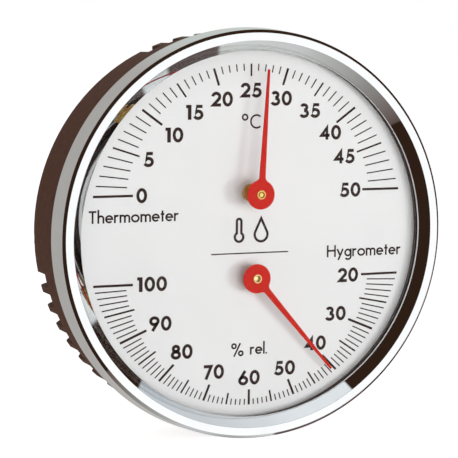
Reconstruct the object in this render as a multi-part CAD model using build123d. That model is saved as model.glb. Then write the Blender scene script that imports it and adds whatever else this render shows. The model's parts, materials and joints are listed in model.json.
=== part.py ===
from build123d import *
import os
from math import atan2, degrees, hypot, sqrt

# Round wall thermometer and hygrometer with a chromed bezel over a moulded housing.
# Everything is drawn in face coordinates: x to the right, y up, z out from the wall,
# with the origin at the centre of the flat back face. save() turns the pieces upright,
# so that in the stored frame +Z is up and the face looks along -Y. All sizes in mm.

# ---- driving dimensions ------------------------------------------------------------

depth = 27.0                    # wall to the bezel's flat front band

# bezel
band_inner_radius = 48.13        # flat front band, inner edge
shoulder_radius = 50.9          # rounded shoulder, where the side band starts
rim_radius = 51.4               # rear edge, the widest place of the object
skirt_length = 7.66
shoulder_rounding = 0.9
lip_radius = 45.7               # inner edge of the sloping bevel
bevel_drop = 1.82               # how far the bevel falls from the front band to the lip
lip_rounding = 0.5
lip_height = 0.65               # straight wall under the bevel's inner edge
skirt_inner_radius = 50.3
seat_setback = 2.8              # back of the lip, where the crystal rests

# crystal
crystal_thickness = 1.1
crystal_apex = depth + 3.95     # highest point of the dome, outside
dome_radius = 40.0              # where the gentle dome meets the steeper shoulder
dome_curvature = 300.0
crystal_rim_radius = 48.8
crystal_rim_thickness = 1.2

# stack behind the crystal
seal_thickness = 0.35
seal_inner_radius = 46.6
dial_face = depth - 5.4
dial_thickness = 0.8
dial_radius = 48.9
spacer_inner_radius = 46.2

# housing
housing_radius = 50.2
housing_rear_radius = 50.0
housing_wall = 2.0
housing_back_rounding = 1.6
collar_inner_radius = 49.0
collar_front = depth - 1.2
ledge_radius = 47.4
ledge_thickness = 1.2
bead_height = 0.28
bead_center = 20.25
bead_half_width = 0.5

# vents around the rear corner of the housing
vent_width = 3.6
vent_front = 7.3
vent_inner_radius = 44.5
lower_vent_count = 26
lower_vent_pitch = 6.13
upper_vent_count = 8
upper_vent_pitch = 6.8

# wall fixing and adjuster access in the back
keyhole_center = 31.0
keyhole_radius = 4.0
keyhole_slot_radius = 2.0
keyhole_slot_length = 7.0
access_radius = 3.4

# the two movements, one above the other
thermometer_pivot = 10.3
hygrometer_pivot = -10.8
thermometer_angle = 84.95       # pointer direction at rest, counter-clockwise from +x
hygrometer_angle = -48.2
thermometer_pointer_height = depth + 1.1
hygrometer_pointer_height = depth - 0.9
thermometer_pointer_length = 30.95
hygrometer_pointer_length = 32.4
thermometer_tip_drop = 1.85
hygrometer_tip_drop = 1.7

# pointers
pointer_thickness = 0.3
hub_disc_radius = 3.65
neck_rounding = 1.2
neck_half_width = 0.8
tip_half_width = 0.28
rivet_head_radius = 1.15
rivet_head_height = 0.35
rivet_barrel_radius = 1.0
rivet_recess_radius = 0.86
rivet_recess_depth = 0.9
hub_boss_radius = 1.5
hub_boss_length = 0.75
hub_tube_radius = 1.0
hub_tube_length = 1.6

# arbors and bearings
arbor_radius = 0.6
pivot_radius = 0.4
running_clearance = 0.06
arbor_shoulder = 13.0
bushing_barrel_radius = 1.3

# movement frames, bent from strip
frame_thickness = 0.8
frame_half_width = 4.0
frame_reach = 11.5
frame_back = 11.0

# spirals
spiral_inner_radius = 2.3
spiral_pitch = 1.1
spiral_turns = 6
spiral_thickness = 0.35
spiral_back = 15.4
bimetal_width = 2.2
hygroscopic_width = 2.5
collet_radius = 1.8
collet_back = 14.6
collet_front = 18.2
post_radius = 0.6
post_shank_radius = 0.4
post_offset = 0.9
slot_clearance = 0.05

# hygrometer adjuster
adjuster_head_radius = 3.0
adjuster_head_back = 0.8
adjuster_neck_radius = 2.5
adjuster_nose_radius = 1.6
adjuster_slot_width = 1.0
adjuster_slot_depth = 1.2
washer_thickness = 0.2
arm_thickness = 0.6
arm_gap = 0.1
arm_hub_radius = 3.0
arm_half_width = 1.2

# ---- derived positions -------------------------------------------------------------

seat = depth - seat_setback
crystal_rim_back = seat - crystal_rim_thickness
seal_back = crystal_rim_back - seal_thickness
dial_back = dial_face - dial_thickness
frame_front = dial_back
post_x = spiral_inner_radius + spiral_turns * spiral_pitch


# ---- helpers -----------------------------------------------------------------------

def section(corners):
    """Half section from (radius, height) or (radius, height, rounding) corners."""
    face = make_face(Polyline(*[corner[:2] for corner in corners], close=True))
    for corner in corners:
        if len(corner) == 3:
            vertex = face.vertices().sort_by_distance((corner[0], corner[1], 0))[0]
            face = fillet(vertex, corner[2])
    return Plane.XZ * face


def turned(corners):
    """Solid turned about the z axis."""
    return revolve(section(corners), Axis.Z)


def disc(radius, back, front, x=0.0, y=0.0):
    """Round bar along z between two heights."""
    return Pos(x, y, back) * extrude(Circle(radius), front - back)


def ring(outer, inner, back, front):
    """Flat ring about the z axis."""
    return disc(outer, back, front) - disc(inner, back, front)


def block(x_range, y_range, z_range):
    """Box between given limits."""
    low = (x_range[0], y_range[0], z_range[0])
    size = (x_range[1] - x_range[0], y_range[1] - y_range[0], z_range[1] - z_range[0])
    return Pos(*low) * Box(*size, align=(Align.MIN, Align.MIN, Align.MIN))


def save(name, shape, pivot=0.0):
    """Move a piece to its pivot height, stand it upright and write it."""
    upright = Plane.XZ.location * (Pos(0, pivot, 0) * shape)
    export_step(upright, f"parts/{name}.step")


# ---- case --------------------------------------------------------------------------

def bezel_ring():
    """Chromed ring: flat front band, rounded shoulder, skirt, and a bevel down to the lip."""
    bead_room = 0.15
    groove_radius = housing_radius + bead_height + bead_room
    return turned([
        (band_inner_radius, depth, 0.12),
        (shoulder_radius, depth, shoulder_rounding),
        (rim_radius, depth - skirt_length, 0.2),
        (skirt_inner_radius, depth - skirt_length, 0.2),
        (skirt_inner_radius, bead_center - bead_half_width - bead_room),
        (groove_radius, bead_center - bead_half_width + bead_room),
        (groove_radius, bead_center + bead_half_width),
        (skirt_inner_radius, bead_center + bead_half_width + bead_room),
        (skirt_inner_radius, depth - 1.0, 0.4),
        (48.2, depth - 1.0),
        (46.25, seat),
        (45.95, seat),
        (lip_radius, depth - bevel_drop - lip_height, 0.1),
        (lip_radius, depth - bevel_drop, lip_rounding),
    ])


def dome_height(radius, curvature, apex):
    """Height of a spherical dome at a radius from its axis."""
    return apex - curvature + sqrt(curvature**2 - radius**2)


def dome_profile(apex, curvature, shoulder_end):
    """Curve from the dome's apex over its shoulder to the flat rim."""
    middle = (dome_radius / 2, dome_height(dome_radius / 2, curvature, apex))
    edge = (dome_radius, dome_height(dome_radius, curvature, apex))
    cap = ThreePointArc((0, apex), middle, edge)
    shoulder = TangentArc(edge, shoulder_end, tangent=cap % 1)
    return [cap, shoulder]


def crystal():
    """Clear domed window with a flat rim that is clamped behind the bezel's lip."""
    outer_end = (45.5, seat)
    inner_end = (45.0, crystal_rim_back)
    inner_apex = crystal_apex - crystal_thickness
    outer = dome_profile(crystal_apex, dome_curvature, outer_end)
    inner = dome_profile(inner_apex, dome_curvature - crystal_thickness, inner_end)
    rim = Polyline(outer_end, (crystal_rim_radius, seat), (crystal_rim_radius, crystal_rim_back), inner_end)
    axis_edge = Line((0, crystal_apex), (0, inner_apex))
    return revolve(Plane.XZ * make_face([*outer, *rim.edges(), *inner, axis_edge]), Axis.Z)


def vent_angles():
    """Directions of the vent slots: a long group below and a short one above."""
    lower_start = 270 - lower_vent_pitch * (lower_vent_count - 1) / 2
    upper_start = 90 - upper_vent_pitch * (upper_vent_count - 1) / 2
    lower = [lower_start + lower_vent_pitch * i for i in range(lower_vent_count)]
    upper = [upper_start + upper_vent_pitch * i for i in range(upper_vent_count)]
    return lower + upper


def key_block(side, clearance):
    """Locating key between housing and dial, at the left (-1) or right (+1) of the rim."""
    inner = 47.9 - clearance
    half_width = 1.5 + clearance
    x_range = sorted((side * inner, side * (collar_inner_radius + 0.1)))
    return block(x_range, (-half_width, half_width), (dial_back - 0.1, dial_face))


def rear_housing():
    """Moulded cup with a front collar, a ledge for the dial, vents and the wall fixing."""
    bead_radius = housing_radius + bead_height
    cup = turned([
        (0, 0),
        (housing_rear_radius, 0, housing_back_rounding),
        (housing_radius, bead_center - bead_half_width),
        (bead_radius, bead_center - bead_half_width + 0.3),
        (bead_radius, bead_center + bead_half_width - 0.3),
        (housing_radius, bead_center + bead_half_width),
        (housing_radius, collar_front, 0.25),
        (collar_inner_radius, collar_front),
        (collar_inner_radius, dial_back),
        (ledge_radius, dial_back),
        (ledge_radius, dial_back - ledge_thickness),
        (housing_radius - housing_wall, dial_back - ledge_thickness - 0.8),
        (housing_radius - housing_wall, housing_wall, 1.0),
        (0, housing_wall),
    ])
    vent = block((vent_inner_radius, rim_radius + 1), (-vent_width / 2, vent_width / 2), (-1, vent_front))
    cup -= [Rot(0, 0, angle) * vent for angle in vent_angles()]
    slot_top = keyhole_center + keyhole_slot_length
    cup -= disc(keyhole_radius, -1, housing_wall + 1, y=keyhole_center)
    cup -= disc(keyhole_slot_radius, -1, housing_wall + 1, y=slot_top)
    cup -= block((-keyhole_slot_radius, keyhole_slot_radius), (keyhole_center, slot_top), (-1, housing_wall + 1))
    cup -= disc(access_radius, -1, housing_wall + 1, y=hygrometer_pivot)
    cup += [key_block(side, 0.0) for side in (-1, 1)]
    return cup


def dial_plate():
    """Flat dial with two bushing holes and two notches for the housing's keys."""
    plate = disc(dial_radius, dial_back, dial_face)
    for pivot in (thermometer_pivot, hygrometer_pivot):
        plate -= disc(bushing_barrel_radius, dial_back, dial_face, y=pivot)
    plate -= [key_block(side, 0.1) for side in (-1, 1)]
    return plate


# ---- pointers ----------------------------------------------------------------------

def pointer_blade(length, drop, height, angle):
    """Disc and tapered needle; the needle dips from the neck towards the dial."""
    reach = sqrt((hub_disc_radius + neck_rounding)**2 - (neck_half_width + neck_rounding)**2)
    scale = hub_disc_radius / (hub_disc_radius + neck_rounding)
    neck_x = reach * scale
    neck_y = (neck_half_width + neck_rounding) * scale
    half = Curve() + [
        Line((neck_x, 0), (neck_x, neck_y)),
        RadiusArc((neck_x, neck_y), (reach, neck_half_width), -neck_rounding),
        Line((reach, neck_half_width), (length, tip_half_width)),
        Line((length, tip_half_width), (length, 0)),
    ]
    outline = make_face(half.edges() + mirror(half, Plane.XZ).edges())
    dip = degrees(atan2(drop, length - neck_x))
    bend = Pos(neck_x, 0, 0) * Rot(0, dip, 0) * Pos(-neck_x, 0, 0)
    needle = bend * extrude(outline, pointer_thickness)
    blade = disc(hub_disc_radius, 0, pointer_thickness) + needle
    blade -= disc(rivet_barrel_radius, -1, 1)
    return Rot(0, 0, angle) * Pos(0, 0, height - pointer_thickness / 2) * blade


def pointer_hub(height):
    """Brass tubular rivet that grips the blade, with a recess round the arbor's end."""
    front = height + pointer_thickness / 2
    back = height - pointer_thickness / 2
    return turned([
        (arbor_radius, back - hub_tube_length),
        (hub_tube_radius, back - hub_tube_length),
        (hub_tube_radius, back - hub_boss_length),
        (hub_boss_radius, back - hub_boss_length),
        (hub_boss_radius, back),
        (rivet_barrel_radius, back),
        (rivet_barrel_radius, front),
        (rivet_head_radius, front),
        (rivet_head_radius, front + rivet_head_height, 0.12),
        (rivet_recess_radius, front + rivet_head_height),
        (rivet_recess_radius, front + rivet_head_height - rivet_recess_depth),
        (arbor_radius, front + rivet_head_height - rivet_recess_depth),
    ])


def arbor(pivot_end, height, set_back):
    """Shaft from the rear pivot into the pointer's rivet, set back from the rivet's face."""
    front = height + pointer_thickness / 2 + rivet_head_height - set_back
    return turned([
        (0, pivot_end),
        (pivot_radius, pivot_end),
        (pivot_radius, arbor_shoulder),
        (arbor_radius, arbor_shoulder),
        (arbor_radius, front, 0.15),
        (0, front),
    ])


# ---- movements ---------------------------------------------------------------------

def bushing(flange_radius, flange_front, nose_radius, nose_front):
    """Brass bearing that rivets the movement frame to the back of the dial."""
    bore = arbor_radius + running_clearance
    collar_back = frame_front - frame_thickness - 0.5
    return turned([
        (bore, collar_back),
        (1.8, collar_back),
        (1.8, frame_front - frame_thickness),
        (bushing_barrel_radius, frame_front - frame_thickness),
        (bushing_barrel_radius, dial_face),
        (flange_radius, dial_face),
        (flange_radius, flange_front, 0.15),
        (nose_radius, flange_front),
        (nose_radius, nose_front, 0.15),
        (bore, nose_front),
    ])


def frame_leg(back, hole_radius):
    """One leg of a movement frame, rounded about the arbor."""
    outline = Circle(frame_half_width) + Pos(frame_reach / 2, 0) * Rectangle(frame_reach, 2 * frame_half_width)
    return Pos(0, 0, back) * extrude(outline - Circle(hole_radius), frame_thickness)


def movement_frame(rear_hole_radius, post_hole):
    """Strip bent into a U: one leg behind the dial, one behind the spiral."""
    bend_web = block(
        (frame_reach - frame_thickness, frame_reach),
        (-frame_half_width, frame_half_width),
        (frame_back, frame_front),
    )
    frame = frame_leg(frame_front - frame_thickness, bushing_barrel_radius)
    frame += frame_leg(frame_back, rear_hole_radius)
    frame += bend_web
    if post_hole:
        frame -= disc(post_shank_radius, frame_back, frame_back + frame_thickness, post_x, post_offset)
    return frame


def rear_bearing():
    """Flanged bearing bush for the thermometer's rear pivot."""
    bore = pivot_radius + running_clearance
    return turned([
        (bore, frame_back - 0.6),
        (2.4, frame_back - 0.6),
        (2.4, frame_back),
        (1.8, frame_back),
        (1.8, frame_back + frame_thickness + 0.4, 0.15),
        (bore, frame_back + frame_thickness + 0.4),
    ])


def collet():
    """Brass sleeve on the arbor, slotted for the inner end of the spiral."""
    slot_half = spiral_thickness / 2 + slot_clearance
    body = ring(collet_radius, arbor_radius, collet_back, collet_front)
    return body - block((0.9, collet_radius + 1), (-slot_half, slot_half), (collet_back + 0.6, collet_front + 1))


def spiral(width):
    """Coiled strip of half-turn arcs about two centres, with straight end tabs."""
    half = spiral_thickness / 2
    outer = []
    inner = []
    for k in range(2 * spiral_turns):
        side = 1 if k % 2 == 0 else -1
        center = 0.0 if k % 2 == 0 else spiral_pitch / 2
        radius = spiral_inner_radius + k * spiral_pitch / 2
        for edges, r in ((outer, radius + half), (inner, radius - half)):
            edges.append(ThreePointArc((center + side * r, 0), (center, side * r), (center - side * r, 0)))
    tab_end = post_offset + post_radius - 0.1
    tab_start = 1.05
    start = spiral_inner_radius
    outline = outer + inner + [
        Line((post_x + half, 0), (post_x + half, tab_end)),
        Line((post_x + half, tab_end), (post_x - half, tab_end)),
        Line((post_x - half, tab_end), (post_x - half, 0)),
    ]
    strip = extrude(make_face(outline + [Line((start - half, 0), (start + half, 0))]), width)
    tab = block((tab_start, start + half), (-half, half), (0, width))
    return Pos(0, 0, spiral_back) * (strip + tab)


def anchor_post(foot, front, shank_length):
    """Slotted post that holds the spiral's outer end."""
    slot_half = spiral_thickness / 2 + slot_clearance / 2
    post = disc(post_radius, foot, front) + disc(post_shank_radius, foot - shank_length, foot)
    post -= block((-slot_half, slot_half), (-1, 1), (spiral_back - 0.2, front + 1))
    return Pos(post_x, post_offset, 0) * post


def adjuster():
    """Slotted adjusting spindle, with the hygrometer's rear pivot hole in its nose."""
    bore = pivot_radius + running_clearance
    neck = adjuster_neck_radius - running_clearance
    arm_back = frame_back + frame_thickness + arm_gap
    spindle = turned([
        (0, adjuster_head_back),
        (adjuster_head_radius, adjuster_head_back, 0.3),
        (adjuster_head_radius, frame_back - washer_thickness),
        (neck, frame_back - washer_thickness),
        (neck, arm_back),
        (adjuster_nose_radius, arm_back),
        (adjuster_nose_radius, arm_back + arm_thickness),
        (bore, arm_back + arm_thickness),
        (bore, frame_back - 2.0),
        (0, frame_back - 2.0),
    ])
    slot_half = adjuster_slot_width / 2
    slot = block((-5, 5), (-slot_half, slot_half), (0, adjuster_head_back + adjuster_slot_depth))
    return spindle - slot


def regulator_arm():
    """Flat arm on the adjuster that carries the spiral's anchor post."""
    back = frame_back + frame_thickness + arm_gap
    reach = hypot(post_x, post_offset)
    turn = degrees(atan2(post_offset, post_x))
    bar = Pos(reach / 2, 0) * Rectangle(reach, 2 * arm_half_width)
    outline = Circle(arm_hub_radius) + bar + Pos(reach, 0) * Circle(arm_half_width)
    outline -= Circle(adjuster_nose_radius)
    outline -= Pos(reach, 0) * Circle(post_shank_radius)
    return Pos(0, 0, back) * Rot(0, 0, turn) * extrude(outline, arm_thickness)


# ---- write every piece -------------------------------------------------------------

os.makedirs("parts", exist_ok=True)

save("rear_housing", rear_housing())
save("bezel_ring", bezel_ring())
save("crystal", crystal())
save("crystal_seal", ring(crystal_rim_radius, seal_inner_radius, seal_back, crystal_rim_back))
save("dial_spacer_ring", ring(dial_radius, spacer_inner_radius, dial_face, seal_back))
save("dial_plate", dial_plate())

thermometer_pieces = {
    "thermometer_frame": movement_frame(1.8, True),
    "thermometer_bushing": bushing(2.2, dial_face + 0.8, 1.35, depth - 1.1),
    "thermometer_rear_bearing": rear_bearing(),
    "thermometer_anchor_post": anchor_post(frame_back + frame_thickness, collet_front, frame_thickness),
    "thermometer_bimetal_spiral": spiral(bimetal_width),
    "thermometer_collet": collet(),
    "thermometer_arbor": arbor(frame_back - 0.1, thermometer_pointer_height, 0.05),
    "thermometer_pointer_hub": pointer_hub(thermometer_pointer_height),
    "thermometer_pointer": pointer_blade(
        thermometer_pointer_length, thermometer_tip_drop, thermometer_pointer_height, thermometer_angle
    ),
}
for name, shape in thermometer_pieces.items():
    save(name, shape, thermometer_pivot)

arm_front = frame_back + frame_thickness + arm_gap + arm_thickness
washer_inner_radius = adjuster_neck_radius
hygrometer_pieces = {
    "hygrometer_frame": movement_frame(adjuster_neck_radius, False),
    "hygrometer_bushing": bushing(1.5, dial_face + 0.4, 1.1, depth - 3.0),
    "hygrometer_adjuster": adjuster(),
    "adjuster_friction_washer": ring(3.6, washer_inner_radius, frame_back - washer_thickness, frame_back),
    "hygrometer_regulator_arm": regulator_arm(),
    "hygrometer_anchor_post": anchor_post(arm_front, collet_front, arm_thickness),
    "hygrometer_humidity_spiral": spiral(hygroscopic_width),
    "hygrometer_collet": collet(),
    "hygrometer_arbor": arbor(frame_back - 1.4, hygrometer_pointer_height, 0.75),
    "hygrometer_pointer_hub": pointer_hub(hygrometer_pointer_height),
    "hygrometer_pointer": pointer_blade(
        hygrometer_pointer_length, hygrometer_tip_drop, hygrometer_pointer_height, hygrometer_angle
    ),
}
for name, shape in hygrometer_pieces.items():
    save(name, shape, hygrometer_pivot)
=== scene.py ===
"""Looks of the dial thermometer and hygrometer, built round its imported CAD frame."""
import json
import math

import bmesh
import bpy
from mathutils import Matrix, Vector


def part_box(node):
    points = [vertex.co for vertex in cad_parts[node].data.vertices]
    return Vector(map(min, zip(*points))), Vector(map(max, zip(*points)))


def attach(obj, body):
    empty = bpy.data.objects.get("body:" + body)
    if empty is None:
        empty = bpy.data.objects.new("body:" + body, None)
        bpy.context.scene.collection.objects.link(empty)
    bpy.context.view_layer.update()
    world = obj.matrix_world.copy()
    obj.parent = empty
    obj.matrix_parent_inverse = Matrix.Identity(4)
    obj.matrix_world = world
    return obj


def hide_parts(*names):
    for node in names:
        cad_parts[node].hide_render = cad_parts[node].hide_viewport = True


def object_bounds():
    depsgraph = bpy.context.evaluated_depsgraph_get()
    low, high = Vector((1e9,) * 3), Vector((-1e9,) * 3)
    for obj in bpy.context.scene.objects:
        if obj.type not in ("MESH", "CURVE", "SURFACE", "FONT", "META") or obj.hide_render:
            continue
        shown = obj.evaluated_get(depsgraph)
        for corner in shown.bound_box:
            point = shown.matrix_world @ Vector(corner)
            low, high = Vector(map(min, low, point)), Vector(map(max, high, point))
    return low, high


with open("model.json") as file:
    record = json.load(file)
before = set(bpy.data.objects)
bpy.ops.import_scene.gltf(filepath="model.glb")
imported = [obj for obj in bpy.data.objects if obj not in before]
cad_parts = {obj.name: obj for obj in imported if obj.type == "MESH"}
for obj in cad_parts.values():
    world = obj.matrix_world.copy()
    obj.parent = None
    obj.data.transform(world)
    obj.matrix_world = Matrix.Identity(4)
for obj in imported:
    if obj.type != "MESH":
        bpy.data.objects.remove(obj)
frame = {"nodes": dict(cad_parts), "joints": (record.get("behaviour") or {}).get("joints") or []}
cad_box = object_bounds()
MM = 0.001

# ---- places taken from the frame ---------------------------------------------------

nodes = frame["nodes"]
joints = {joint["name"]: joint for joint in frame["joints"]}
THERMOMETER_PIVOT = Vector(joints["thermometer_turn"]["pos_m"])
HYGROMETER_PIVOT = Vector(joints["hygrometer_turn"]["pos_m"])
DIAL_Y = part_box("dial_plate")[0].y
BEZEL_LOW, BEZEL_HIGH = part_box("bezel_ring")
BEZEL_RADIUS = BEZEL_HIGH.x
BEZEL_FRONT_Y = BEZEL_LOW.y
FLOOR_Z = cad_box[0].z


# ---- node material helpers ---------------------------------------------------------

class Nodes:
    """Short names for building a node tree."""

    def __init__(self, tree):
        self.tree = tree
        tree.nodes.clear()

    def add(self, kind, **settings):
        node = self.tree.nodes.new(kind)
        for key, value in settings.items():
            setattr(node, key, value)
        return node

    def link(self, source, target):
        self.tree.links.new(source, target)

    def coordinates(self):
        return self.add("ShaderNodeTexCoord").outputs["Object"]

    def noise(self, scale, detail=3.0, roughness=0.5, stretch=None):
        """Noise of a given scale per metre; stretch squeezes it along an axis."""
        texture = self.add("ShaderNodeTexNoise")
        texture.inputs["Scale"].default_value = scale
        texture.inputs["Detail"].default_value = detail
        texture.inputs["Roughness"].default_value = roughness
        source = self.coordinates()
        if stretch:
            mapping = self.add("ShaderNodeMapping")
            mapping.inputs["Scale"].default_value = stretch
            self.link(source, mapping.inputs["Vector"])
            source = mapping.outputs["Vector"]
        self.link(source, texture.inputs["Vector"])
        return texture.outputs["Fac"]

    def ramp(self, factor, low, high, start=0.3, end=0.7):
        """Blend of two colours by a factor."""
        ramp = self.add("ShaderNodeValToRGB")
        ramp.color_ramp.elements[0].position = start
        ramp.color_ramp.elements[1].position = end
        ramp.color_ramp.elements[0].color = (*low, 1)
        ramp.color_ramp.elements[1].color = (*high, 1)
        self.link(factor, ramp.inputs["Fac"])
        return ramp.outputs["Color"]

    def remap(self, factor, low, high, start=0.3, end=0.7):
        """Factor mapped to a range."""
        node = self.add("ShaderNodeMapRange")
        node.inputs["From Min"].default_value = start
        node.inputs["From Max"].default_value = end
        node.inputs["To Min"].default_value = low
        node.inputs["To Max"].default_value = high
        self.link(factor, node.inputs["Value"])
        return node.outputs["Result"]

    def bump(self, height, strength, distance):
        """Normal from a height factor."""
        node = self.add("ShaderNodeBump")
        node.inputs["Strength"].default_value = strength
        node.inputs["Distance"].default_value = distance
        self.link(height, node.inputs["Height"])
        return node.outputs["Normal"]


def new_material(name):
    """Empty node material and its tree."""
    material = bpy.data.materials.new(name)
    material.use_nodes = True
    return material, Nodes(material.node_tree)


def surface(name, low, high, roughness, metallic=0.0, grain=900.0, bump=None, stretch=None, **sockets):
    """Principled material with colour variation, varied roughness and a fine relief.

    roughness is a (smooth, rough) pair and bump a (scale, strength, distance) triple."""
    material, tree = new_material(name)
    shader = tree.add("ShaderNodeBsdfPrincipled")
    output = tree.add("ShaderNodeOutputMaterial")
    tree.link(shader.outputs["BSDF"], output.inputs["Surface"])
    shader.inputs["Metallic"].default_value = metallic
    for socket, value in sockets.items():
        shader.inputs[socket.replace("_", " ")].default_value = value
    tone = tree.noise(grain, detail=4.0, stretch=stretch)
    tree.link(tree.ramp(tone, low, high), shader.inputs["Base Color"])
    wear = tree.noise(grain * 2.7, detail=3.0, stretch=stretch)
    tree.link(tree.remap(wear, *roughness), shader.inputs["Roughness"])
    if bump:
        scale, strength, distance = bump
        relief = tree.noise(scale, detail=4.0, roughness=0.6, stretch=stretch)
        tree.link(tree.bump(relief, strength, distance), shader.inputs["Normal"])
    return material


# Painted shade: a dark brass colour laid on the floor of the adjuster's slot in place of its shade.
SLOT_SHADE_PAINT = (0.035, 0.024, 0.012)
SLOT_SHADE_FADE = 0.2 * MM               # depth over which the brass darkens into the painted shade of the slot floor
MIX_A, MIX_B, MIX_RESULT = 6, 7, 2  # colour sockets of a Mix node


def lay_over(tree, below, mask, above):
    """Colour above laid over the colour below where the mask is 1."""
    mix = tree.add("ShaderNodeMix", data_type="RGBA")
    tree.link(mask, mix.inputs[0])
    for index, colour in ((MIX_A, below), (MIX_B, above)):
        if isinstance(colour, tuple):
            mix.inputs[index].default_value = (*colour, 1)
        else:
            tree.link(colour, mix.inputs[index])
    return mix.outputs[MIX_RESULT]


def turned_metal(name, low, high, roughness, metallic, pivot, unshaded_above=None):
    """Metal with fine lathe rings about an axis through the pivot.

    Below a given Y it is darkened with painted shade, which stands in for the shade on the floor of a
    slot."""
    material, tree = new_material(name)
    shader = tree.add("ShaderNodeBsdfPrincipled")
    output = tree.add("ShaderNodeOutputMaterial")
    tree.link(shader.outputs["BSDF"], output.inputs["Surface"])
    shader.inputs["Metallic"].default_value = metallic
    tone = tree.noise(2500.0, detail=3.0)
    colour = tree.ramp(tone, low, high)
    # Painted shade: below the given Y the brass is darkened in place of the shade in the slot.
    if unshaded_above is not None:
        depth = tree.add("ShaderNodeSeparateXYZ")
        tree.link(tree.coordinates(), depth.inputs["Vector"])
        clean = tree.remap(depth.outputs["Y"], 0.0, 1.0, unshaded_above - SLOT_SHADE_FADE, unshaded_above)
        colour = lay_over(tree, SLOT_SHADE_PAINT, clean, colour)
    tree.link(colour, shader.inputs["Base Color"])
    tree.link(tree.remap(tone, *roughness), shader.inputs["Roughness"])
    mapping = tree.add("ShaderNodeMapping")
    mapping.inputs["Location"].default_value = (-pivot.x, 0.0, -pivot.z)
    rings = tree.add("ShaderNodeTexWave", wave_type="RINGS", rings_direction="Y")
    rings.inputs["Scale"].default_value = 3000.0
    rings.inputs["Distortion"].default_value = 1.5
    tree.link(tree.coordinates(), mapping.inputs["Vector"])
    tree.link(mapping.outputs["Vector"], rings.inputs["Vector"])
    tree.link(tree.bump(rings.outputs["Fac"], 0.25, 0.00002), shader.inputs["Normal"])
    return material


def clear_window(name):
    """Thin clear window: what is behind shows straight through, with a faint mirror image."""
    material, tree = new_material(name)
    output = tree.add("ShaderNodeOutputMaterial")
    mix = tree.add("ShaderNodeMixShader")
    clear = tree.add("ShaderNodeBsdfTransparent")
    mirror = tree.add("ShaderNodeBsdfGlossy")
    weight = tree.add("ShaderNodeLayerWeight")
    edge = tree.add("ShaderNodeMath", operation="POWER")
    clear.inputs["Color"].default_value = (0.995, 0.998, 0.998, 1)
    edge.inputs[1].default_value = 4.0
    dust = tree.noise(600.0, detail=5.0)
    tree.link(weight.outputs["Facing"], edge.inputs[0])
    tree.link(tree.remap(dust, 0.005, 0.03), mirror.inputs["Roughness"])
    tree.link(tree.remap(edge.outputs["Value"], 0.003, 0.22, 0.0, 1.0), mix.inputs["Fac"])
    tree.link(clear.outputs["BSDF"], mix.inputs[1])
    tree.link(mirror.outputs["BSDF"], mix.inputs[2])
    tree.link(mix.outputs["Shader"], output.inputs["Surface"])
    return material


# ---- materials ---------------------------------------------------------------------

CHROME = surface("polished_chrome", (0.64, 0.65, 0.66), (0.68, 0.69, 0.70), (0.006, 0.018),
                 metallic=1.0, grain=120.0, bump=(700.0, 0.02, 0.00001))
HOUSING = surface("moulded_brown_plastic", (0.140, 0.051, 0.026), (0.170, 0.064, 0.034), (0.55, 0.68),
                  grain=500.0, bump=(5200.0, 0.35, 0.00006), Specular_IOR_Level=0.12)
SPACER = surface("matte_dark_plastic", (0.066, 0.038, 0.033), (0.084, 0.050, 0.044), (0.5, 0.65),
                 grain=700.0, bump=(4000.0, 0.3, 0.00004))
RUBBER = surface("black_rubber", (0.012, 0.012, 0.012), (0.022, 0.021, 0.020), (0.6, 0.8),
                 grain=900.0, bump=(3000.0, 0.4, 0.00005))
LACQUER = surface("white_dial_lacquer", (0.775, 0.778, 0.780), (0.800, 0.802, 0.802), (0.38, 0.5),
                  grain=60.0, bump=(2600.0, 0.06, 0.00002))
INK = surface("dark_brown_ink", (0.026, 0.012, 0.010), (0.036, 0.018, 0.015), (0.55, 0.7),
              grain=2500.0, bump=(6000.0, 0.2, 0.00001), Specular_IOR_Level=0.3)
RED = surface("red_pointer_lacquer", (0.505, 0.0145, 0.008), (0.575, 0.021, 0.012), (0.44, 0.56),
              grain=1400.0, bump=(4000.0, 0.20, 0.00002), Specular_IOR_Level=0.15)
STEEL = surface("zinc_plated_strip", (0.50, 0.51, 0.52), (0.62, 0.62, 0.63), (0.28, 0.42),
                metallic=1.0, grain=700.0, bump=(2500.0, 0.15, 0.00002), stretch=(1.0, 1.0, 6.0))
BIMETAL = surface("rolled_bimetal", (0.42, 0.38, 0.33), (0.55, 0.50, 0.43), (0.3, 0.45),
                  metallic=1.0, grain=900.0, bump=(3000.0, 0.15, 0.00002), stretch=(1.0, 8.0, 1.0))
HUMIDITY = surface("coated_humidity_strip", (0.56, 0.53, 0.46), (0.66, 0.63, 0.55), (0.55, 0.7),
                   grain=1500.0, bump=(5000.0, 0.3, 0.00003))
BRASS_UPPER = turned_metal("turned_brass_upper", (0.82, 0.52, 0.13), (0.93, 0.63, 0.21), (0.16, 0.30),
                           0.6, THERMOMETER_PIVOT)
BRASS_LOWER = turned_metal("turned_brass_lower", (0.86, 0.62, 0.26), (0.95, 0.74, 0.38), (0.10, 0.22),
                           0.95, HYGROMETER_PIVOT)
# Y above which the adjuster's brass is free of the painted slot shade.
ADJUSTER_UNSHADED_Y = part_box("hygrometer_adjuster")[1].y - 0.35 * MM
BRASS_SLOTTED = turned_metal("turned_brass_slotted", (0.80, 0.55, 0.20), (0.90, 0.66, 0.30), (0.20, 0.34),
                             0.9, HYGROMETER_PIVOT, unshaded_above=ADJUSTER_UNSHADED_Y)
WINDOW = clear_window("clear_acrylic")


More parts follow.
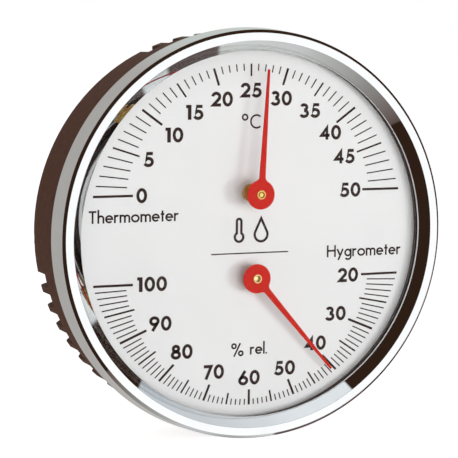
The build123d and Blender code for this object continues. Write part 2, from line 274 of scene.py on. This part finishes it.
def node_material(name):
    """Finish of a CAD node that stays visible."""
    plain = {
        "rear_housing": HOUSING, "bezel_ring": CHROME, "crystal": WINDOW, "crystal_seal": RUBBER,
        "dial_spacer_ring": SPACER, "dial_plate": LACQUER,
        "thermometer_bimetal_spiral": BIMETAL, "hygrometer_humidity_spiral": HUMIDITY,
        "thermometer_pointer": RED, "hygrometer_pointer": RED,
        "thermometer_frame": STEEL, "hygrometer_frame": STEEL,
        "adjuster_friction_washer": STEEL, "hygrometer_regulator_arm": STEEL,
        "hygrometer_adjuster": BRASS_SLOTTED,
    }
    if name in plain:
        return plain[name]
    return BRASS_UPPER if name.startswith("thermometer") else BRASS_LOWER


for node_name, cad_object in nodes.items():
    cad_object.data.materials.clear()
    cad_object.data.materials.append(node_material(node_name))


# ---- mesh helpers ------------------------------------------------------------------

def mesh_object(name, bm, material, smooth=False):
    """New object from a bmesh, in the row frame."""
    bmesh.ops.recalc_face_normals(bm, faces=bm.faces)
    mesh = bpy.data.meshes.new(name)
    bm.to_mesh(mesh)
    bm.free()
    mesh.materials.append(material)
    for polygon in mesh.polygons:
        polygon.use_smooth = smooth
    made = bpy.data.objects.new(name, mesh)
    bpy.context.scene.collection.objects.link(made)
    return made


def lathe(name, profile, material, segments=360):
    """Ring turned about the Y axis from a closed list of (radius, y) points."""
    bm = bmesh.new()
    rings = []
    for k in range(segments):
        angle = 2 * math.pi * k / segments
        rings.append([bm.verts.new((r * math.cos(angle), y, r * math.sin(angle))) for r, y in profile])
    count = len(profile)
    for k in range(segments):
        one, two = rings[k], rings[(k + 1) % segments]
        for i in range(count):
            j = (i + 1) % count
            bm.faces.new((one[i], one[j], two[j], two[i]))
    return mesh_object(name, bm, material, smooth=True)


def rounded(corners, steps=5, support=0.04 * MM):
    """Closed profile with rounded corners from (radius, y, rounding) corners.

    Two extra points beside each rounding keep the flats flat under smooth shading."""
    points = []
    for i, (r, y, rounding) in enumerate(corners):
        here = Vector((r, y))
        to_last = (Vector(corners[i - 1][:2]) - here).normalized()
        to_next = (Vector(corners[(i + 1) % len(corners)][:2]) - here).normalized()
        half = to_last.angle(to_next) / 2
        cut = rounding / math.tan(half)
        centre = here + (to_last + to_next).normalized() * (rounding / math.sin(half))
        start, end = here + to_last * cut, here + to_next * cut
        points.append(tuple(start + to_last * support))
        sweep = (start - centre).angle_signed(end - centre)
        for k in range(steps + 1):
            turn = -sweep * k / steps
            arm = start - centre
            points.append((
                centre.x + arm.x * math.cos(turn) - arm.y * math.sin(turn),
                centre.y + arm.x * math.sin(turn) + arm.y * math.cos(turn),
            ))
        points.append(tuple(end + to_next * support))
    return points


# ---- printing on the dial ----------------------------------------------------------

INK_PROUD = 0.02 * MM
INK_DEPTH = 0.06 * MM
INK_FRONT_Y = DIAL_Y - INK_PROUD
MITRE_LIMIT = 2.6


def add_ribbon(bm, points, half_width, closed=False):
    """Flat stroke of constant width along a path, with mitred corners."""
    path = [Vector(p) for p in points]
    count = len(path)
    sides = []
    for i, here in enumerate(path):
        before = path[i - 1] if closed or i > 0 else None
        after = path[(i + 1) % count] if closed or i < count - 1 else None
        first = (here - before).normalized() if before is not None else (after - here).normalized()
        second = (after - here).normalized() if after is not None else first
        normal_one = Vector((-first.y, first.x))
        normal_two = Vector((-second.y, second.x))
        mitre = (normal_one + normal_two).normalized()
        stretch = min(MITRE_LIMIT, 1 / max(0.1, mitre.dot(normal_one)))
        offset = mitre * half_width * stretch
        sides.append((here + offset, here - offset))
    rows = []
    for left, right in sides:
        rows.append([
            bm.verts.new((left.x, INK_FRONT_Y, left.y)),
            bm.verts.new((right.x, INK_FRONT_Y, right.y)),
            bm.verts.new((right.x, INK_FRONT_Y + INK_DEPTH, right.y)),
            bm.verts.new((left.x, INK_FRONT_Y + INK_DEPTH, left.y)),
        ])
    for i in range(count if closed else count - 1):
        one, two = rows[i], rows[(i + 1) % count]
        for a in range(4):
            b = (a + 1) % 4
            bm.faces.new((one[a], one[b], two[b], two[a]))
    if not closed:
        bm.faces.new(rows[0])
        bm.faces.new(list(reversed(rows[-1])))


def arc(cx, cy, rx, ry, start, end, steps=22):
    """Points of an elliptical arc, angles in degrees counter-clockwise."""
    turns = [math.radians(start + (end - start) * k / steps) for k in range(steps + 1)]
    return [(cx + rx * math.cos(t), cy + ry * math.sin(t)) for t in turns]


def loop(cx, cy, rx, ry, steps=36):
    """Points of a closed ellipse."""
    return arc(cx, cy, rx, ry, 0, 360, steps)[:-1]


# Geometric letters drawn as strokes about their centre lines, in units of the height of a
# capital. Each entry is (width, [strokes]); a stroke is (closed, points) or
# (closed, points, weight), where weight makes it heavier than its neighbours.

BOLD = 0.108                                   # half a stroke of the numerals
LIGHT = 0.077                                  # half a stroke of the words

NUMERALS = {
    "0": (0.77, [(True, loop(0.385, 0.5, 0.276, 0.402))]),
    "1": (0.47, [(False, [(0.04, 0.892), (0.20, 0.892)]), (False, [(0.30, 1.0), (0.30, 0.0)], 1.2)]),
    "2": (0.72, [(False, arc(0.355, 0.655, 0.255, 0.240, 172, -38) + [(0.150, 0.105), (0.71, 0.105)])]),
    "3": (0.74, [
        (False, arc(0.35, 0.725, 0.205, 0.175, 160, -90)),
        (False, arc(0.35, 0.300, 0.265, 0.205, 90, -160)),
    ]),
    "4": (0.78, [(False, [(0.55, 0.0), (0.55, 0.83), (0.150, 0.300), (0.76, 0.300)])]),
    "5": (0.75, [(False, [(0.67, 0.892), (0.300, 0.892), (0.215, 0.52)]
                  + arc(0.350, 0.330, 0.285, 0.240, 115, -155))]),
    "6": (0.76, [(True, loop(0.38, 0.315, 0.268, 0.228)), (False, [(0.52, 0.985), (0.155, 0.43)])]),
    "7": (0.66, [(False, [(0.02, 0.892), (0.565, 0.892), (0.18, 0.0)])]),
    "8": (0.72, [(True, loop(0.36, 0.725, 0.195, 0.175)), (True, loop(0.36, 0.300, 0.262, 0.208))]),
    "9": (0.76, [(True, loop(0.38, 0.685, 0.268, 0.228)), (False, [(0.24, 0.015), (0.605, 0.57)])]),
}

X_TOP = 0.66                                   # height of the small letters
BOWL_Y = X_TOP / 2
BOWL_RY = BOWL_Y - LIGHT
ARCH_Y = 0.40
ARCH_RY = X_TOP - LIGHT - ARCH_Y
ASCENDER = 1.10
STEM = 0.057                                   # a stem's centre from the letter's left edge

LETTERS = {
    "T": (0.65, [(False, [(0.0, 0.943), (0.65, 0.943)]), (False, [(0.325, 0.943), (0.325, 0.0)])]),
    "H": (0.79, [
        (False, [(STEM, 1.0), (STEM, 0.0)]),
        (False, [(0.733, 1.0), (0.733, 0.0)]),
        (False, [(STEM, 0.53), (0.733, 0.53)]),
    ]),
    "C": (0.78, [(False, arc(0.48, 0.5, 0.43, 0.443, 48, 312))]),
    "h": (0.54, [
        (False, [(STEM, ASCENDER), (STEM, 0.0)]),
        (False, arc(0.27, ARCH_Y, 0.213, ARCH_RY, 180, 0) + [(0.483, 0.0)]),
    ]),
    "e": (0.65, [
        (False, [(STEM, 0.335), (0.591, 0.335)] + arc(0.325, BOWL_Y, 0.266, BOWL_RY, 2, 318, 30)),
    ]),
    "r": (0.37, [
        (False, [(STEM, X_TOP), (STEM, 0.0)]),
        (False, arc(0.26, ARCH_Y, 0.203, ARCH_RY, 180, 60, 12)),
    ]),
    "m": (0.87, [
        (False, [(STEM, X_TOP), (STEM, 0.0)]),
        (False, arc(0.246, ARCH_Y + 0.03, 0.189, ARCH_RY - 0.03, 180, 0) + [(0.435, 0.0)]),
        (False, arc(0.624, ARCH_Y + 0.03, 0.189, ARCH_RY - 0.03, 180, 0) + [(0.813, 0.0)]),
    ]),
    "o": (0.70, [(True, loop(0.35, BOWL_Y, 0.293, BOWL_RY))]),
    "t": (0.31, [(False, [(0.155, 0.89), (0.155, 0.0)]), (False, [(0.0, 0.60), (0.31, 0.60)])]),
    "y": (0.63, [(False, [(0.05, X_TOP), (0.345, 0.06)]), (False, [(0.58, X_TOP), (0.15, -0.27)])]),
    "g": (0.64, [
        (True, loop(0.305, BOWL_Y, 0.248, BOWL_RY)),
        (False, [(0.583, X_TOP), (0.583, -0.02)] + arc(0.325, -0.02, 0.258, 0.21, 0, -150)[1:]),
    ]),
    "l": (0.114, [(False, [(STEM, ASCENDER), (STEM, 0.0)])]),
    ".": (0.13, [(False, [(0.065, 0.0), (0.065, 0.125)])]),
    "%": (1.13, [
        (True, loop(0.25, 0.80, 0.185, 0.185)),
        (True, loop(0.88, 0.16, 0.185, 0.185)),
        (False, [(0.83, 1.04), (0.25, -0.10)]),
    ]),
    "deg": (0.50, [(True, loop(0.25, 0.80, 0.185, 0.185))]),
}


def add_text(bm, glyphs, text, height, centre, half_stroke, gap):
    """Row of glyphs centred on a point of the dial."""
    widths = [glyphs[c][0] if c != " " else 0.42 for c in text]
    total = sum(widths) + gap * (len(text) - 1)
    left = -total / 2
    for character, width in zip(text, widths):
        strokes = glyphs[character][1] if character != " " else []
        for closed, points, *weight in strokes:
            placed = [
                (centre[0] + (left + x) * height, centre[1] + (y - 0.5) * height) for x, y in points
            ]
            add_ribbon(bm, placed, half_stroke * height * (weight[0] if weight else 1.0), closed)
        left += width + gap


def polar(origin, radius, degrees):
    """Point of the dial at a radius and direction from an origin."""
    angle = math.radians(degrees)
    return origin.x + radius * math.cos(angle), origin.z + radius * math.sin(angle)


# Each scale is printed about its own centre, close to its pointer's pivot. The lines end
# on one circle that both scales share. Their inner ends lie on circles about a point
# between the two.

PRINT_UPPER = Vector((0.0, 0.0, 10.34 * MM))
PRINT_LOWER = Vector((0.0, 0.0, -11.52 * MM))
SCALE_CENTRE_Z = -0.45 * MM
SCALE_OUTER = 42.85 * MM
LINE_KINDS = {                      # kind: (inner circle radius, its offset, line width)
    "ten": (31.34 * MM, 3.44 * MM, 0.60 * MM),
    "five": (32.08 * MM, 3.10 * MM, 0.45 * MM),
    "one": (33.07 * MM, 2.77 * MM, 0.31 * MM),
}
NUMERAL_HEIGHT = 3.65 * MM
WORD_HEIGHT = 3.05 * MM
NUMERAL_GAP = 0.09
WORD_GAP = 0.10


def reach(radius, offset, sine):
    """Distance to a circle of a given radius whose centre lies offset behind the origin."""
    return -offset * sine + math.sqrt(radius ** 2 - offset ** 2 * (1 - sine ** 2))


def add_scale(bm, origin, low, high, direction):
    """Lines of one scale. direction(value) gives a line's angle; the scale bulges up or down."""
    for value in range(low, high + 1):
        kind = "ten" if value % 10 == 0 else "five" if value % 5 == 0 else "one"
        radius, offset, width = LINE_KINDS[kind]
        angle = direction(value)
        sine = abs(math.sin(math.radians(angle)))
        inner = reach(radius, offset, sine)
        outer = reach(SCALE_OUTER, abs(origin.z - SCALE_CENTRE_Z), sine)
        add_ribbon(bm, [polar(origin, inner, angle), polar(origin, outer, angle)], width / 2)


def temperature_angle(value):
    return 180.0 - 3.6 * value


def humidity_angle(value):
    return 180.0 + 2.25 * (100 - value)


def add_numerals(bm, origin, labels, direction):
    """Numbers beside the lines: labels gives each one's distance and how far it is moved round."""
    for value, (distance, nudge) in labels.items():
        place = polar(origin, distance * MM, direction(value) + nudge)
        add_text(bm, NUMERALS, str(value), NUMERAL_HEIGHT, place, BOLD, NUMERAL_GAP)


TEMPERATURE_LABELS = {
    0: (28.9, 0), 5: (28.5, 0), 10: (25.2, 0.4), 15: (25.2, 0.9), 20: (24.6, 0.5), 25: (25.5, 0),
    30: (24.8, -1.3), 35: (25.9, -2.5), 40: (26.4, -2.2), 45: (27.3, 0.3), 50: (27.7, 0),
}
HUMIDITY_LABELS = {
    100: (26.2, 0), 90: (25.9, 0), 80: (25.1, -1.5), 70: (24.8, -0.3), 60: (24.9, 0),
    50: (25.0, 0.6), 40: (25.1, 2.0), 30: (25.9, 0.3), 20: (27.4, 0),
}

lines = bmesh.new()
add_scale(lines, PRINT_UPPER, 0, 50, temperature_angle)
add_scale(lines, PRINT_LOWER, 20, 100, humidity_angle)
dial_lines = mesh_object("dial_scale_lines", lines, INK)

numerals = bmesh.new()
add_numerals(numerals, PRINT_UPPER, TEMPERATURE_LABELS, temperature_angle)
add_numerals(numerals, PRINT_LOWER, HUMIDITY_LABELS, humidity_angle)
dial_numerals = mesh_object("dial_numerals", numerals, INK)

words = bmesh.new()
add_text(words, LETTERS, "Thermometer", WORD_HEIGHT, (-30.9 * MM, 5.35 * MM), LIGHT, WORD_GAP)
add_text(words, LETTERS, "Hygrometer", WORD_HEIGHT, (31.9 * MM, -5.25 * MM), LIGHT, WORD_GAP)
add_text(words, LETTERS, ["deg", "C"], 3.6 * MM, (0.05 * MM, 28.05 * MM), 0.062, 0.14)
add_text(words, LETTERS, "% rel.", 2.95 * MM, (0.0, -29.1 * MM), LIGHT, WORD_GAP)
dial_words = mesh_object("dial_words", words, INK)


# A plain pictogram in the middle of the dial: a thermometer tube, a drop and a thin rule.

def add_pictogram(bm):
    half = 0.32 * MM
    tube_x, drop_x, base_z = -3.0 * MM, 3.0 * MM, -1.1 * MM
    bulb = [(tube_x + x * MM, base_z + y * MM) for x, y in arc(0, 0.35, 1.15, 1.15, 122, 418, 28)]
    top = [(tube_x + x * MM, base_z + y * MM) for x, y in arc(0, 4.3, 0.62, 0.62, 0, 180, 14)]
    add_ribbon(bm, bulb + top, half, closed=True)
    drop = [(drop_x + x * MM, base_z + y * MM) for x, y in arc(0, 0.85, 1.75, 1.75, 150, 390, 28)]
    add_ribbon(bm, drop + [(drop_x, base_z + 4.9 * MM)], half, closed=True)
    add_ribbon(bm, [(-10.5 * MM, -4.85 * MM), (10.5 * MM, -4.85 * MM)], 0.16 * MM)


emblem = bmesh.new()
add_pictogram(emblem)
dial_pictogram = mesh_object("dial_pictogram", emblem, INK)

for printed in (dial_lines, dial_numerals, dial_words, dial_pictogram):
    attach(printed, "case")


# ---- bezel -------------------------------------------------------------------------

def bezel_piece():
    """Chromed ring with softly rounded edges, in place of the plainer CAD ring."""
    front, rear = BEZEL_FRONT_Y, BEZEL_HIGH.y
    corners = [
        (48.13 * MM, front, 0.12 * MM),             # front band, inner edge
        (50.10 * MM, front, 0.10 * MM),             # front band, outer edge
        (50.86 * MM, front + 0.62 * MM, 0.14 * MM), # end of the shoulder
        (BEZEL_RADIUS, rear, 0.2 * MM),             # rear edge
        (50.3 * MM, rear, 0.2 * MM),
        (50.3 * MM, front + 1.0 * MM, 0.3 * MM),    # inside of the skirt
        (48.2 * MM, front + 1.0 * MM, 0.1 * MM),
        (46.25 * MM, front + 2.8 * MM, 0.03 * MM),  # back of the bevel
        (45.95 * MM, front + 2.8 * MM, 0.03 * MM),
        (45.70 * MM, front + 2.47 * MM, 0.06 * MM), # lip, inner face
        (45.70 * MM, front + 1.82 * MM, 0.08 * MM), # lip, foot of the bevel
    ]
    return lathe("bezel_polished", rounded(corners), CHROME, segments=480)


bezel = bezel_piece()
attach(bezel, "case")
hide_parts("bezel_ring")


# ---- window ------------------------------------------------------------------------

DOME_CURVATURE = 300.0 * MM
DOME_EDGE = 40.0 * MM               # radius where the dome gives way to the steeper shoulder
WINDOW_THICKNESS = 1.1 * MM
WINDOW_RIM_THICKNESS = 1.2 * MM
SHOULDER_END_OUTER = 45.5 * MM
SHOULDER_END_INNER = 45.0 * MM
WINDOW_SEGMENTS = 240


def cap_points(apex_y, radius, edge_radius, steps):
    """Points of a shallow spherical cap from its apex outwards."""
    points = []
    for k in range(steps + 1):
        r = edge_radius * k / steps
        points.append((r, apex_y + radius - math.sqrt(radius ** 2 - r ** 2)))
    return points


def shoulder_points(start, slope, end, steps):
    """Points of the arc that leaves the cap at its slope and ends on the flat rim."""
    start, end = Vector(start), Vector(end)
    tangent = Vector((1.0, slope)).normalized()
    normal = Vector((-tangent.y, tangent.x))
    chord = end - start
    radius = chord.length_squared / (2 * chord.dot(normal))
    centre = start + normal * radius
    sweep = (start - centre).angle_signed(end - centre)
    points = []
    for k in range(1, steps + 1):
        turn = -sweep * k / steps
        arm = start - centre
        points.append((
            centre.x + arm.x * math.cos(turn) - arm.y * math.sin(turn),
            centre.y + arm.x * math.sin(turn) + arm.y * math.cos(turn),
        ))
    return points


def window_skin(apex_y, curvature, rim):
    """One face of the window: gentle dome, steeper shoulder, flat rim."""
    cap = cap_points(apex_y, curvature, DOME_EDGE, 40)
    slope = DOME_EDGE / math.sqrt(curvature ** 2 - DOME_EDGE ** 2)
    return cap + shoulder_points(cap[-1], slope, rim, 16)


def window_piece():
    """Domed clear window with a flat rim, smooth enough for a clean mirror image."""
    low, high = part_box("crystal")
    seat = high.y - WINDOW_RIM_THICKNESS
    inner_apex_y, inner_curvature = low.y + WINDOW_THICKNESS, DOME_CURVATURE - WINDOW_THICKNESS
    outer = window_skin(low.y, DOME_CURVATURE, (SHOULDER_END_OUTER, seat))
    inner = window_skin(inner_apex_y, inner_curvature, (SHOULDER_END_INNER, high.y))
    profile = outer + [(high.x, seat), (high.x, high.y)] + list(reversed(inner))
    bm = bmesh.new()
    columns = []
    for k in range(WINDOW_SEGMENTS):
        angle = 2 * math.pi * k / WINDOW_SEGMENTS
        columns.append([
            bm.verts.new((r * math.cos(angle), y, r * math.sin(angle))) for r, y in profile[1:-1]
        ])
    apexes = [bm.verts.new((0.0, profile[end][1], 0.0)) for end in (0, -1)]
    for k in range(WINDOW_SEGMENTS):
        one, two = columns[k], columns[(k + 1) % WINDOW_SEGMENTS]
        bm.faces.new((apexes[0], one[0], two[0]))
        bm.faces.new((apexes[1], two[-1], one[-1]))
        for i in range(len(one) - 1):
            bm.faces.new((one[i], one[i + 1], two[i + 1], two[i]))
    return mesh_object("window_dome", bm, WINDOW, smooth=True)


window = window_piece()
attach(window, "case")
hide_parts("crystal")


# ---- stage: floor, world, lights, camera -------------------------------------------

def floor_material():
    """White floor that mirrors don't see, so that the studio's panels show in chrome."""
    material, tree = new_material("stage_floor")
    output = tree.add("ShaderNodeOutputMaterial")
    mix = tree.add("ShaderNodeMixShader")
    lit = tree.add("ShaderNodeAddShader")
    paint = tree.add("ShaderNodeBsdfDiffuse")
    glow = tree.add("ShaderNodeEmission")
    clear = tree.add("ShaderNodeBsdfTransparent")
    path = tree.add("ShaderNodeLightPath")
    paint.inputs["Color"].default_value = (0.9, 0.9, 0.9, 1)
    glow.inputs["Color"].default_value = (1.0, 1.0, 1.0, 1)
    tree.link(tree.remap(path.outputs["Is Camera Ray"], 0.0, 0.86, 0.0, 1.0), glow.inputs["Strength"])
    tree.link(paint.outputs["BSDF"], lit.inputs[0])
    tree.link(glow.outputs["Emission"], lit.inputs[1])
    tree.link(path.outputs["Is Glossy Ray"], mix.inputs["Fac"])
    tree.link(lit.outputs["Shader"], mix.inputs[1])
    tree.link(clear.outputs["BSDF"], mix.inputs[2])
    tree.link(mix.outputs["Shader"], output.inputs["Surface"])
    return material


FLOOR_HALF_SIZE = 6.0


def make_floor():
    """Level floor under the object, which lets light through from below."""
    bm = bmesh.new()
    half = FLOOR_HALF_SIZE
    corners = [(-half, -half), (half, -half), (half, half), (-half, half)]
    bm.faces.new([bm.verts.new((x, y, FLOOR_Z)) for x, y in corners])
    floor = mesh_object("stage_floor", bm, floor_material())
    floor.visible_shadow = False


def smooth_mask(tree, value, outside, inside):
    """0 at the outside value, 1 at the inside value and beyond."""
    fade = tree.add("ShaderNodeMapRange", interpolation_type="SMOOTHSTEP")
    fade.inputs["From Min"].default_value = outside
    fade.inputs["From Max"].default_value = inside
    tree.link(value, fade.inputs["Value"])
    return fade.outputs["Result"]


def dot_with(tree, direction, axis):
    """Cosine of the angle between a direction and an axis."""
    dot = tree.add("ShaderNodeVectorMath", operation="DOT_PRODUCT")
    dot.inputs[1].default_value = Vector(axis).normalized()
    tree.link(direction, dot.inputs[0])
    return dot.outputs["Value"]


def math_node(tree, operation, first, second):
    """Math node; each operand is a socket or a number."""
    node = tree.add("ShaderNodeMath", operation=operation)
    for index, operand in enumerate((first, second)):
        if isinstance(operand, (int, float)):
            node.inputs[index].default_value = operand
        else:
            tree.link(operand, node.inputs[index])
    return node.outputs["Value"]


def round_panel(tree, direction, below, centre, inner, outer, colour, only_for=None):
    """Round soft panel: half angles in degrees of its full part and of its edge.

    With only_for, a Light Path socket, just that kind of ray sees it."""
    dot = dot_with(tree, direction, centre)
    mask = smooth_mask(tree, dot, math.cos(math.radians(outer)), math.cos(math.radians(inner)))
    if only_for is not None:
        mask = math_node(tree, "MULTIPLY", mask, only_for)
    return lay_over(tree, below, mask, colour)


def long_panel(tree, direction, below, start, end, centre_offset, half_width, stops):
    """Panel along the arc from start to end, with colours in stops of (place, colour)."""
    start, end = Vector(start).normalized(), Vector(end).normalized()
    across = start.cross(end).normalized()
    ahead = across.cross(start)
    length = start.angle(end)
    side = math_node(tree, "SUBTRACT", dot_with(tree, direction, across), centre_offset)
    side = math_node(tree, "ABSOLUTE", side, 0.0)
    along = math_node(tree, "ARCTAN2", dot_with(tree, direction, ahead), dot_with(tree, direction, start))
    along = math_node(tree, "DIVIDE", along, length)
    ramp = tree.add("ShaderNodeValToRGB")
    elements = ramp.color_ramp.elements
    while len(elements) < len(stops):
        elements.new(0.5)
    for element, (place, colour) in zip(elements, stops):
        element.position = place
        element.color = (*colour, 1)
    tree.link(along, ramp.inputs["Fac"])
    width_mask = smooth_mask(tree, side, half_width + PANEL_EDGE, half_width)
    start_mask = smooth_mask(tree, along, -0.012, 0.0)
    end_mask = smooth_mask(tree, along, 1.012, 1.0)
    mask = math_node(tree, "MULTIPLY", width_mask, math_node(tree, "MULTIPLY", start_mask, end_mask))
    return lay_over(tree, below, mask, ramp.outputs["Color"])


STUDIO_STRENGTH = 1.31
PANEL_EDGE = 0.03                   # soft border of a long panel, as a sine
STUDIO_DARK = (0.032, 0.0157, 0.009)
WALL_GREY = (0.42, 0.405, 0.385)
WALL_LIGHT = (0.51, 0.54, 0.51)
CARD_WHITE = (1.13, 1.13, 1.13)
EDGE_STRIP = (0.95, 0.92, 0.90)
FLASH_WHITE = (0.85, 0.87, 0.87)
CARD_GREY = (0.62, 0.64, 0.65)
MIRROR_CARDS = [                    # (direction, full half angle, edge half angle)
    ((-0.16, -0.985, 0.05), 13, 17),
    ((-0.99, -0.10, 0.05), 12, 18),
    ((0.95, -0.29, -0.10), 8, 12),
    ((-0.06, 0.15, 0.99), 15, 19),
    ((0.0, 0.15, -0.99), 13, 19),
    ((-0.70, 0.05, 0.70), 12, 18),
    ((-0.70, 0.05, -0.70), 12, 18),
]


def make_world():
    """Plain white to the eye, and a dark studio with soft panels to everything else."""
    world = bpy.data.worlds.new("studio")
    bpy.context.scene.world = world
    world.use_nodes = True
    tree = Nodes(world.node_tree)
    direction = tree.add("ShaderNodeTexCoord").outputs["Generated"]
    studio = round_panel(tree, direction, STUDIO_DARK, (0.0, 1.0, -0.05), 66, 74, WALL_GREY)
    studio = round_panel(tree, direction, studio, (0.38, 0.87, 0.315), 5, 24, WALL_LIGHT)
    studio = round_panel(tree, direction, studio, (-0.80, 0.60, -0.10), 5, 9, EDGE_STRIP)
    studio = long_panel(
        tree, direction, studio, (0.88, -0.05, -0.47), (-0.42, -0.57, -0.70), 0.12, 0.28,
        [
            (0.0, (0.10, 0.075, 0.07)), (0.28, (0.127, 0.094, 0.090)), (0.292, (0.72, 0.74, 0.71)),
            (0.55, (0.62, 0.63, 0.61)), (0.78, (0.36, 0.355, 0.34)), (1.0, (0.13, 0.092, 0.082)),
        ],
    )
    studio = long_panel(
        tree, direction, studio, (0.88, -0.17, 0.45), (-0.17, -0.61, 0.77), -0.025, 0.10,
        [
            (0.0, (0.60, 0.64, 0.67)), (0.4, (0.68, 0.71, 0.73)),
            (0.7, (0.83, 0.86, 0.88)), (1.0, (0.85, 0.89, 0.90)),
        ],
    )
    studio = round_panel(tree, direction, studio, (0.994, -0.02, 0.10), 2.5, 4, FLASH_WHITE)
    studio = round_panel(tree, direction, studio, (0.776, -0.04, -0.63), 2.5, 4, FLASH_WHITE)
    studio = round_panel(tree, direction, studio, (0.46, -0.88, -0.10), 17, 19, CARD_WHITE)
    path = tree.add("ShaderNodeLightPath")
    glossy = path.outputs["Is Glossy Ray"]
    for centre, inner, outer in MIRROR_CARDS:
        studio = round_panel(tree, direction, studio, centre, inner, outer, CARD_GREY, only_for=glossy)
    plain = 1.0 / STUDIO_STRENGTH
    seen = lay_over(tree, studio, path.outputs["Is Camera Ray"], (plain, plain, plain))
    background = tree.add("ShaderNodeBackground")
    background.inputs["Strength"].default_value = STUDIO_STRENGTH
    output = tree.add("ShaderNodeOutputWorld")
    tree.link(seen, background.inputs["Color"])
    tree.link(background.outputs["Background"], output.inputs["Surface"])


def area_light(name, direction, distance, size, watts):
    """Soft square light that faces the object and doesn't show in mirrors."""
    data = bpy.data.lights.new(name, "AREA")
    data.shape = "SQUARE"
    data.size = size
    data.energy = watts
    made = bpy.data.objects.new(name, data)
    away = Vector(direction).normalized()
    made.location = away * distance
    made.rotation_mode = "QUATERNION"
    made.rotation_quaternion = away.to_track_quat("Z", "Y")
    made.visible_glossy = False
    made.visible_camera = False
    bpy.context.scene.collection.objects.link(made)


def make_camera():
    """Camera of the catalogue view: from the left and a little above, with a long lens."""
    data = bpy.data.cameras.new("camera")
    data.lens = 156.0
    data.sensor_width = 36.0
    data.clip_start = 0.01
    data.clip_end = 50.0
    camera = bpy.data.objects.new("camera", data)
    right = Vector((0.92104, -0.38941, 0.00688))
    up = Vector((0.03370, 0.09728, 0.99469))
    back = right.cross(up)
    turn = Matrix((right, up, back)).transposed()
    camera.matrix_world = Matrix.Translation((-0.1973, -0.4738, 0.0521)) @ turn.to_4x4()
    bpy.context.scene.collection.objects.link(camera)
    bpy.context.scene.camera = camera


make_floor()
make_world()
area_light("front", (-0.035, -1.0, -0.04), 1.0, 0.55, 5.8)
area_light("right", (0.43, -0.89, -0.06), 0.45, 0.105, 0.42)
area_light("fill", (-0.35, -0.70, 0.62), 1.6, 1.6, 3.3)
make_camera()
bpy.context.scene.view_settings.view_transform = "Standard"
